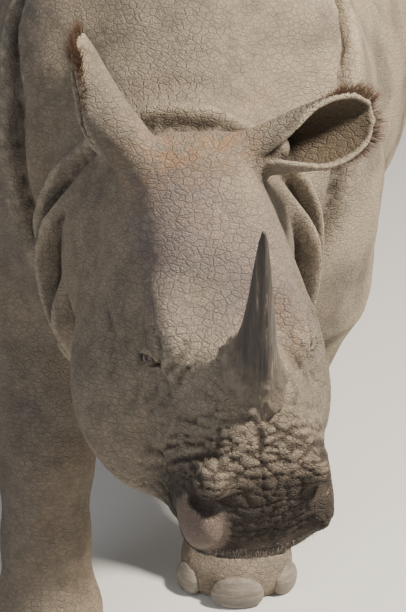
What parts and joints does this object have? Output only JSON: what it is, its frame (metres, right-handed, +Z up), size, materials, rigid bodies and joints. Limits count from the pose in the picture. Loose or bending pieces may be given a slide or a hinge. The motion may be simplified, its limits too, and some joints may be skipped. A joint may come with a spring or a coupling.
{
  "type": "greater one-horned rhinoceros",
  "caption": "Life-size still model of a standing one-horned rhinoceros in mid-step, head lowered and turned a little, with folded skin, cupped ears and a slim horn.",
  "frame": {"origin": "on the floor, under the middle of the animal's bounding box", "axes": "+Z up; the animal faces -Y, with its tail towards +Y and its left side towards +X"},
  "size_m": [1.106, 2.9254, 1.5935],
  "materials": {
    "skin": "dry, thick, grey-brown hide with folds and warts, dusty where lit, dark brown on the muzzle",
    "horn": "dark keratin with fine lengthwise fibres, rough and frayed at the base",
    "nail": "grey-brown keratin with paler growth bands, dusty",
    "eye": "wet, dark brown iris and cornea"
  },
  "bodies": {
    "root": {"barrel": "skin", "ear_left": "skin", "ear_right": "skin", "eye_left": "eye", "eye_right": "eye", "foot_front_left": "skin", "foot_front_right": "skin", "foot_hind_left": "skin", "foot_hind_right": "skin", "head": "skin", "horn": "horn", "leg_front_left": "skin", "leg_front_right": "skin", "leg_hind_left": "skin", "leg_hind_right": "skin", "nail_front_left_inner": "nail", "nail_front_left_middle": "nail", "nail_front_left_outer": "nail", "nail_front_right_inner": "nail", "nail_front_right_middle": "nail", "nail_front_right_outer": "nail", "nail_hind_left_inner": "nail", "nail_hind_left_middle": "nail", "nail_hind_left_outer": "nail", "nail_hind_right_inner": "nail", "nail_hind_right_middle": "nail", "nail_hind_right_outer": "nail", "neck": "skin", "rump": "skin", "shoulders": "skin", "tail": "skin"}
  },
  "joints": []
}
